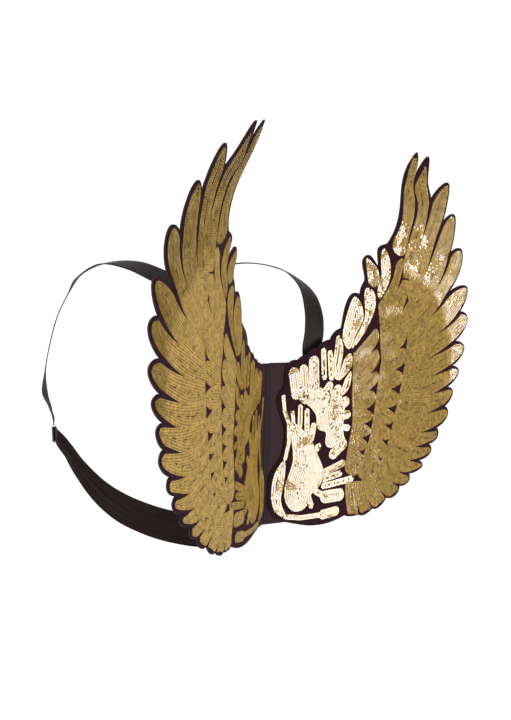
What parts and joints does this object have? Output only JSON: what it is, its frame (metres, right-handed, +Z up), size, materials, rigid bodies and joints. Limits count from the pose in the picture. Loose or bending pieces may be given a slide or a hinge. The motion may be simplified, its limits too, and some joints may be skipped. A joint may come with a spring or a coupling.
{
  "type": "costume wings",
  "caption": "Pair of sequinned feather-shaped costume wings on a folding back panel, with shoulder straps and side bands that adjust at sliders.",
  "frame": {"origin": "bottom of the spine fold, where the two half panels meet", "axes": "+X towards the wearer's right wing, +Y from the show side towards the wearer's back, +Z up along the spine fold"},
  "size_m": [0.8202, 0.4463, 0.5719],
  "materials": {
    "felt": "soft dark plum felt",
    "foam_core": "matt",
    "boning": "satin",
    "sequins": "gold, glossy",
    "satin": "satin sheen",
    "board": "matt",
    "lining": "soft",
    "tape": "matt",
    "webbing": "faint sheen",
    "slider": "polished"
  },
  "bodies": {
    "spine": {"spine_tape": "tape"},
    "right_half": {"right_wing_front_felt": "felt", "right_wing_back_felt": "felt", "right_wing_core": "foam_core", "right_wing_boning": "boning", "right_sequins_primaries": "sequins", "right_sequins_secondaries": "sequins", "right_sequins_tertials": "sequins", "right_sequins_scapulars": "sequins", "right_sequins_tuft": "sequins", "right_sequins_fan": "sequins", "right_sequins_curl": "sequins", "right_panel_cover": "satin", "right_panel_board": "board", "right_panel_lining": "lining", "right_side_band": "webbing", "right_top_anchor_patch": "felt", "right_bottom_anchor_patch": "felt", "right_shoulder_strap": "webbing"},
    "left_half": {"left_wing_front_felt": "felt", "left_wing_back_felt": "felt", "left_wing_core": "foam_core", "left_wing_boning": "boning", "left_sequins_primaries": "sequins", "left_sequins_secondaries": "sequins", "left_sequins_tertials": "sequins", "left_sequins_scapulars": "sequins", "left_sequins_tuft": "sequins", "left_sequins_fan": "sequins", "left_sequins_curl": "sequins", "left_panel_cover": "satin", "left_panel_board": "board", "left_panel_lining": "lining", "left_side_band": "webbing", "left_top_anchor_patch": "felt", "left_bottom_anchor_patch": "felt", "left_shoulder_strap": "webbing"},
    "right_buckle": {"right_slider": "slider", "right_hem_loop": "webbing"},
    "left_buckle": {"left_slider": "slider", "left_hem_loop": "webbing"}
  },
  "joints": [
    {"name": "right_wing_fold", "type": "hinge", "parent": "spine", "child": "right_half", "pos_m": [0, 0.003, 0.12], "axis": [0, 0, 1], "range_deg": [-45, 18]},
    {"name": "left_wing_fold", "type": "hinge", "parent": "spine", "child": "left_half", "pos_m": [0, 0.003, 0.12], "axis": [0, 0, -1], "range_deg": [-45, 18]},
    {"name": "right_slider_slide", "type": "slide", "parent": "right_half", "child": "right_buckle", "axis": [0.6907, -0.7207, 0.0601], "range_m": [-0.005, 0.005]},
    {"name": "left_slider_slide", "type": "slide", "parent": "left_half", "child": "left_buckle", "axis": [-0.6907, -0.7207, 0.0601], "range_m": [-0.005, 0.005]}
  ]
}
